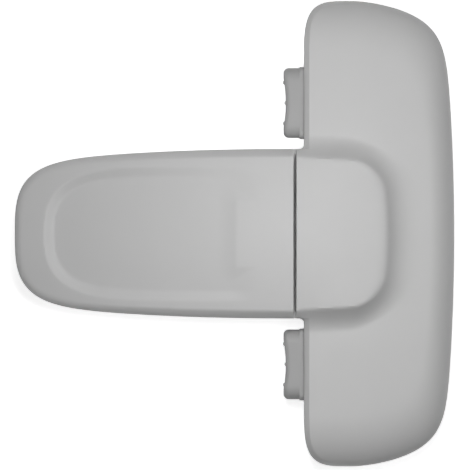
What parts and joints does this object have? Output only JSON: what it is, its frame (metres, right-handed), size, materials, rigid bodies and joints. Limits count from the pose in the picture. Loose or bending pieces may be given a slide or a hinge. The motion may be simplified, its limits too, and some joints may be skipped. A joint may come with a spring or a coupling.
{
  "type": "refrigerator lock",
  "caption": "Stick-on appliance door lock: a rounded arm with a shallow thumb dish, hinged to a T-shaped squeeze handle with ribbed finger buttons over a keeper plate.",
  "frame": {"origin": "the middle of the lock in plan, on the plane of the two adhesive pads' backs", "axes": "+X from the arm to the handle, +Y along the handle, +Z away from the refrigerator"},
  "size_m": [0.108, 0.114, 0.024],
  "materials": {
    "shell_grey": "satin, fine moulded grain",
    "button_grey": "satin, a shade darker than the shells",
    "inner_grey": "plain moulded",
    "hook_white": "smooth natural acetal",
    "foam_white": "closed-cell foam tape",
    "pin_steel": "bright drawn",
    "spring_steel": "bright wire",
    "screw_steel": "zinc plated"
  },
  "bodies": {
    "base": {"arm_cover": "shell_grey", "arm_base": "inner_grey", "arm_adhesive_pad": "foam_white", "arm_screw_1": "screw_steel", "arm_screw_2": "screw_steel", "arm_screw_3": "screw_steel", "arm_screw_4": "screw_steel", "keeper_plate": "inner_grey", "keeper_adhesive_pad": "foam_white", "catch_hook_upper": "hook_white", "catch_hook_lower": "hook_white"},
    "handle": {"handle_cover": "shell_grey", "handle_back": "inner_grey", "hinge_pin": "pin_steel", "handle_screw_1": "screw_steel", "handle_screw_2": "screw_steel", "handle_screw_3": "screw_steel", "handle_screw_4": "screw_steel", "handle_screw_5": "screw_steel", "handle_screw_6": "screw_steel", "button_spring_upper": "spring_steel", "button_spring_lower": "spring_steel"},
    "button_upper": {"button_upper": "button_grey"},
    "button_lower": {"button_lower": "button_grey"}
  },
  "joints": [
    {"name": "handle_lift", "type": "hinge", "parent": "base", "child": "handle", "pos_m": [0.02034, 0, 0.0196], "axis": [0, -1, 0], "range_deg": [0, 90], "deforming": ["catch_hook_upper", "catch_hook_lower"]},
    {"name": "button_upper_press", "type": "slide", "parent": "handle", "child": "button_upper", "axis": [1, 0, 0], "range_m": [0, 0.003], "stiffness_N_per_m": 630, "springref_m": -0.004, "deforming": ["button_spring_upper"]},
    {"name": "button_lower_press", "type": "slide", "parent": "handle", "child": "button_lower", "axis": [1, 0, 0], "range_m": [0, 0.003], "stiffness_N_per_m": 630, "springref_m": -0.004, "deforming": ["button_spring_lower"]}
  ]
}
